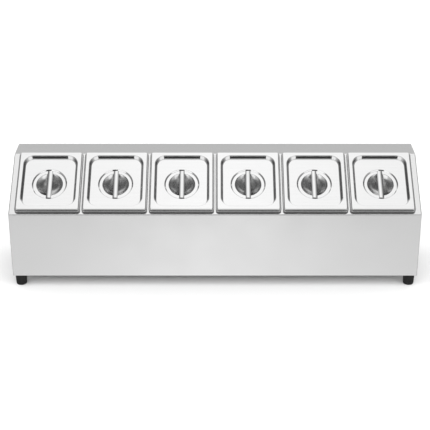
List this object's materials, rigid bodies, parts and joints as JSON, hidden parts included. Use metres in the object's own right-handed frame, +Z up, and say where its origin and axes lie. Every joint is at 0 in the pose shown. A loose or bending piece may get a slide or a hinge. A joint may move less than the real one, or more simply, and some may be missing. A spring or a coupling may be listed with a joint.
{
  "type": "ingredient container",
  "caption": "Countertop ingredient station: a sloped stainless steel box on rubber feet that holds a row of deep pans, each with a lift-off lid with a sunk finger well and strap.",
  "frame": {"origin": "on the table, under the middle of the housing", "axes": "+X along the row of pans, -Y out of the front panel, +Z up"},
  "size_m": [1.0204, 0.223, 0.3079],
  "materials": {
    "housing_steel": "satin brushed",
    "pan_steel": "bright drawn",
    "lid_steel": "polished",
    "foot_rubber": "matte",
    "fastener_steel": "plain"
  },
  "bodies": {
    "housing": {"housing_shell": "housing_steel", "end_panel_left": "housing_steel", "end_panel_right": "housing_steel", "foot_front_left": "foot_rubber", "foot_front_right": "foot_rubber", "foot_rear_left": "foot_rubber", "foot_rear_right": "foot_rubber", "foot_screws": "fastener_steel", "foot_washers": "fastener_steel", "foot_nuts": "fastener_steel"},
    "pan_1": {"pan_1": "pan_steel"},
    "lid_1": {"lid_1": "lid_steel", "lid_handle_1": "lid_steel"},
    "pan_2": {"pan_2": "pan_steel"},
    "lid_2": {"lid_2": "lid_steel", "lid_handle_2": "lid_steel"},
    "pan_3": {"pan_3": "pan_steel"},
    "lid_3": {"lid_3": "lid_steel", "lid_handle_3": "lid_steel"},
    "pan_4": {"pan_4": "pan_steel"},
    "lid_4": {"lid_4": "lid_steel", "lid_handle_4": "lid_steel"},
    "pan_5": {"pan_5": "pan_steel"},
    "lid_5": {"lid_5": "lid_steel", "lid_handle_5": "lid_steel"},
    "pan_6": {"pan_6": "pan_steel"},
    "lid_6": {"lid_6": "lid_steel", "lid_handle_6": "lid_steel"}
  },
  "joints": [
    {"name": "pan_1_lift", "type": "slide", "parent": "housing", "child": "pan_1", "axis": [0, -0.5592, 0.829], "range_m": [0, 0.18]},
    {"name": "lid_1_lift", "type": "slide", "parent": "pan_1", "child": "lid_1", "axis": [0, -0.5592, 0.829], "range_m": [0, 0.1]},
    {"name": "pan_2_lift", "type": "slide", "parent": "housing", "child": "pan_2", "axis": [0, -0.5592, 0.829], "range_m": [0, 0.18]},
    {"name": "lid_2_lift", "type": "slide", "parent": "pan_2", "child": "lid_2", "axis": [0, -0.5592, 0.829], "range_m": [0, 0.1]},
    {"name": "pan_3_lift", "type": "slide", "parent": "housing", "child": "pan_3", "axis": [0, -0.5592, 0.829], "range_m": [0, 0.18]},
    {"name": "lid_3_lift", "type": "slide", "parent": "pan_3", "child": "lid_3", "axis": [0, -0.5592, 0.829], "range_m": [0, 0.1]},
    {"name": "pan_4_lift", "type": "slide", "parent": "housing", "child": "pan_4", "axis": [0, -0.5592, 0.829], "range_m": [0, 0.18]},
    {"name": "lid_4_lift", "type": "slide", "parent": "pan_4", "child": "lid_4", "axis": [0, -0.5592, 0.829], "range_m": [0, 0.1]},
    {"name": "pan_5_lift", "type": "slide", "parent": "housing", "child": "pan_5", "axis": [0, -0.5592, 0.829], "range_m": [0, 0.18]},
    {"name": "lid_5_lift", "type": "slide", "parent": "pan_5", "child": "lid_5", "axis": [0, -0.5592, 0.829], "range_m": [0, 0.1]},
    {"name": "pan_6_lift", "type": "slide", "parent": "housing", "child": "pan_6", "axis": [0, -0.5592, 0.829], "range_m": [0, 0.18]},
    {"name": "lid_6_lift", "type": "slide", "parent": "pan_6", "child": "lid_6", "axis": [0, -0.5592, 0.829], "range_m": [0, 0.1]}
  ]
}
